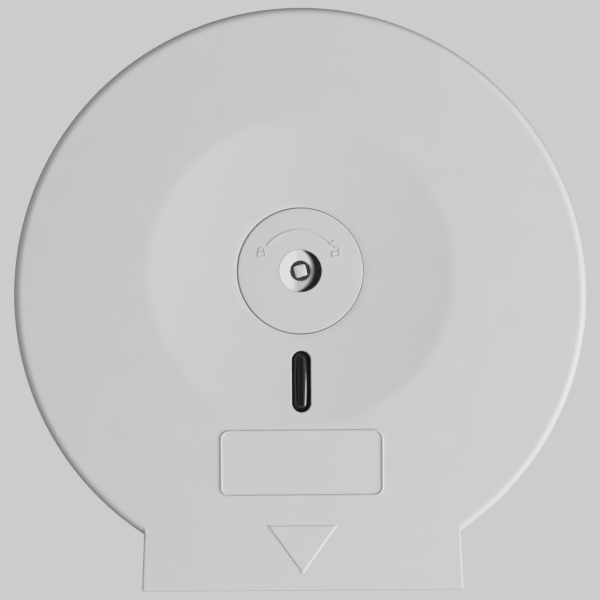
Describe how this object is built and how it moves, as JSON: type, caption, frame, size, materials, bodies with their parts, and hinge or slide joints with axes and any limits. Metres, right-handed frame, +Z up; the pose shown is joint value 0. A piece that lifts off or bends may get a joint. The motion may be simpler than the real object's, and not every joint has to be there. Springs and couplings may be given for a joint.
{
  "type": "jumbo toilet roll dispenser",
  "caption": "Wall-mounted round casing with a flared chute below, a front that hinges down, a turning spindle for a large paper roll and a key lock in the middle.",
  "frame": {"origin": "where the axis of the roll, the spindle and the lock meets the wall, which is also the middle of the four wall slots", "axes": "+X to the right seen from the front, +Y from the front into the wall along the roll's axis, +Z up"},
  "size_m": [0.272, 0.1195, 0.2755],
  "materials": {
    "white_plastic": "satin moulded",
    "grey_plastic": "satin moulded",
    "smoked_plastic": "polished",
    "zinc": "satin die-cast",
    "steel": "brushed",
    "nylon": "natural"
  },
  "bodies": {
    "root": {"back_plate": "grey_plastic", "spindle_post": "grey_plastic", "spindle_screws": "steel", "hub_washer": "nylon", "striker_cap": "grey_plastic", "striker_screws": "steel", "hinge_pin_left": "steel", "hinge_pin_right": "steel"},
    "hub": {"roll_hub": "white_plastic"},
    "cover": {"front_cover": "white_plastic", "window_lens": "smoked_plastic", "window_clips": "steel", "lock_bezel": "white_plastic", "key_cup": "zinc", "lock_housing": "grey_plastic", "housing_screws": "steel", "wave_washer": "steel", "tear_strip_left": "steel", "tear_strip_right": "steel", "strip_rivets_left": "nylon", "strip_rivets_right": "nylon"},
    "core": {"lock_core": "zinc", "lock_cam": "zinc", "cam_washer": "steel", "cam_screw": "steel"}
  },
  "joints": [
    {"name": "cover_hinge", "type": "hinge", "parent": "root", "child": "cover", "pos_m": [0, -0.014, -0.141], "axis": [1, 0, 0], "range_deg": [0, 90]},
    {"name": "lock_turn", "type": "hinge", "parent": "cover", "child": "core", "pos_m": [0, -0.1, 0], "axis": [0, 1, 0], "range_deg": [-90, 0]},
    {"name": "hub_spin", "type": "hinge", "parent": "root", "child": "hub", "pos_m": [0, -0.047, 0], "axis": [0, 1, 0], "continuous": true}
  ]
}
